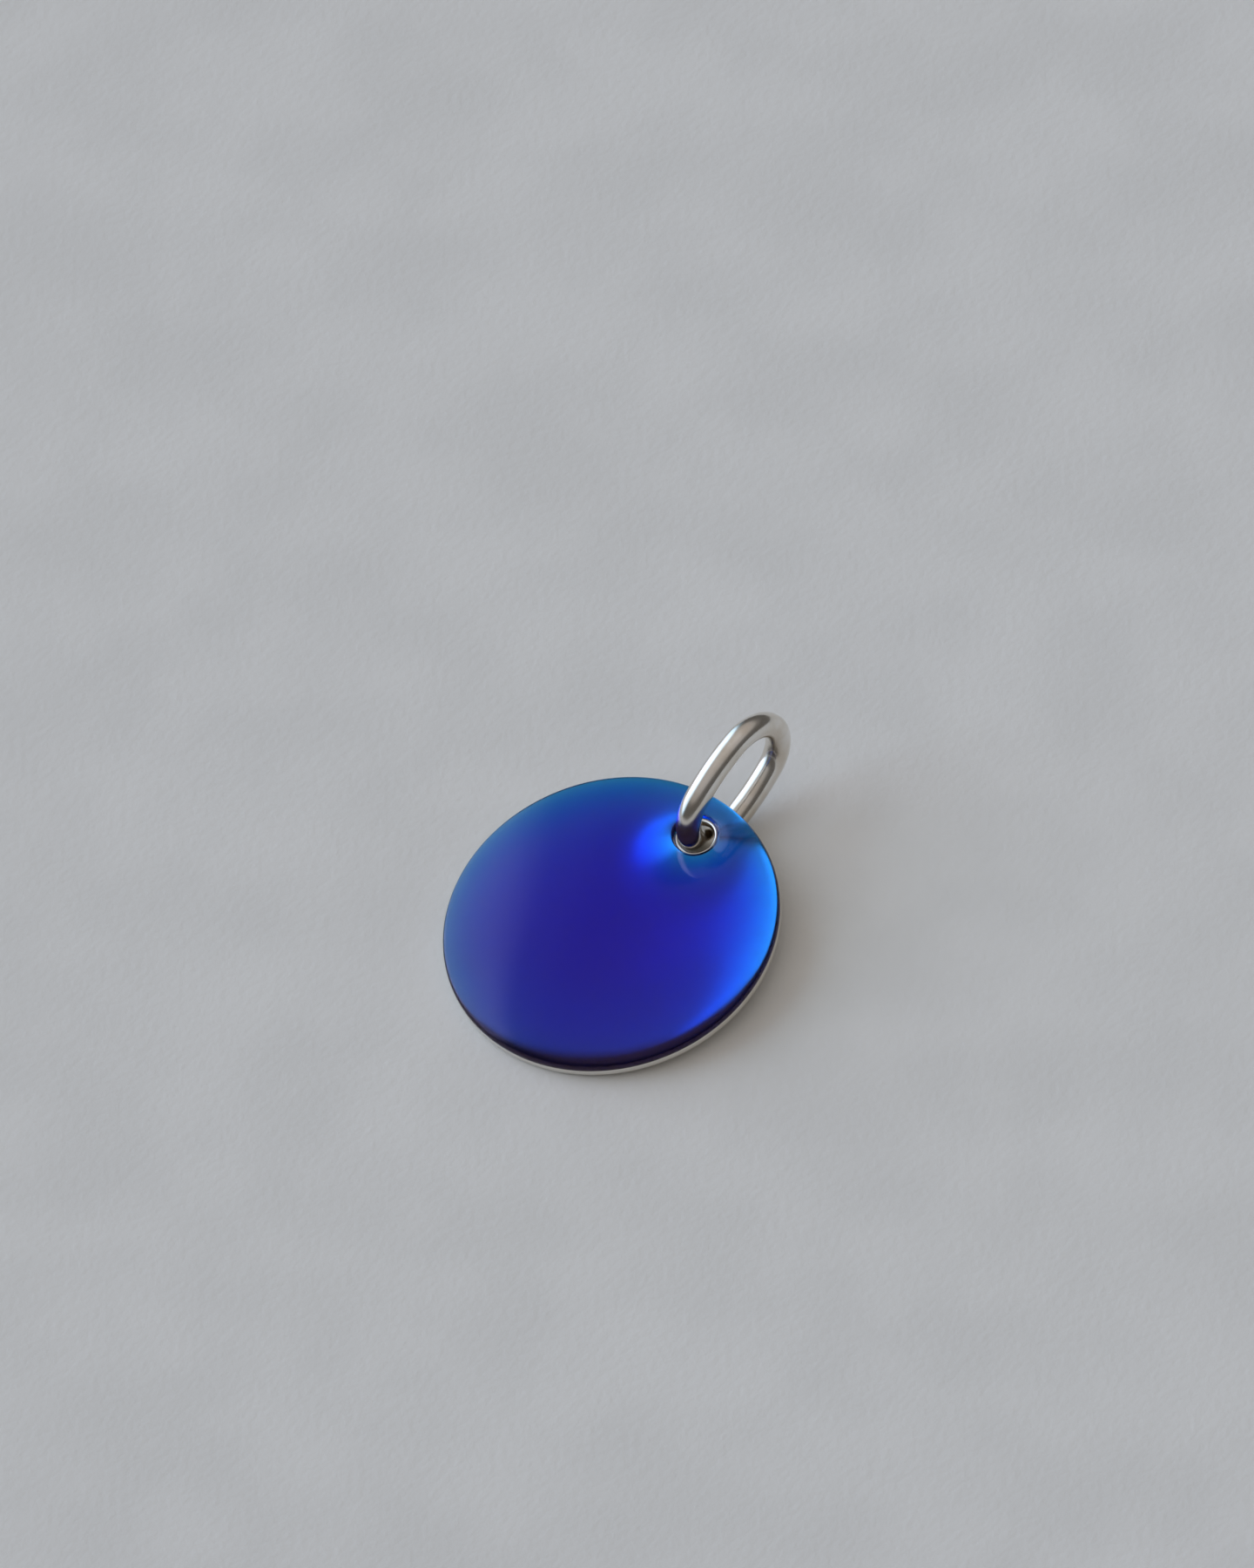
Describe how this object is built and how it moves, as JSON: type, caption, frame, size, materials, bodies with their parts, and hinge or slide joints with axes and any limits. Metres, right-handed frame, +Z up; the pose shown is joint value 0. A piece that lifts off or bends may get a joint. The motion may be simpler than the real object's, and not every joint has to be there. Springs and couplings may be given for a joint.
{
  "type": "enamelled disc charm on a jump ring",
  "caption": "Small round silver charm with a domed face of deep blue glass enamel, and a closed oval wire ring through a lipped hole near its rim.",
  "frame": {"origin": "middle of the box's base: on the surface that the charm lies on, half-way along its length and on its mirror plane", "axes": "+Z up from the surface, +X from the disc towards the ring, and the XZ plane is the mirror plane of the whole charm"},
  "size_m": [0.0152, 0.012, 0.0047],
  "materials": {
    "silver_plate": "polished sterling silver, faintly brushed",
    "blue_enamel": "glossy translucent glass enamel",
    "silver_wire": "polished sterling silver"
  },
  "bodies": {
    "root": {"disc_back": "silver_plate", "enamel": "blue_enamel", "jump_ring": "silver_wire"}
  },
  "joints": []
}
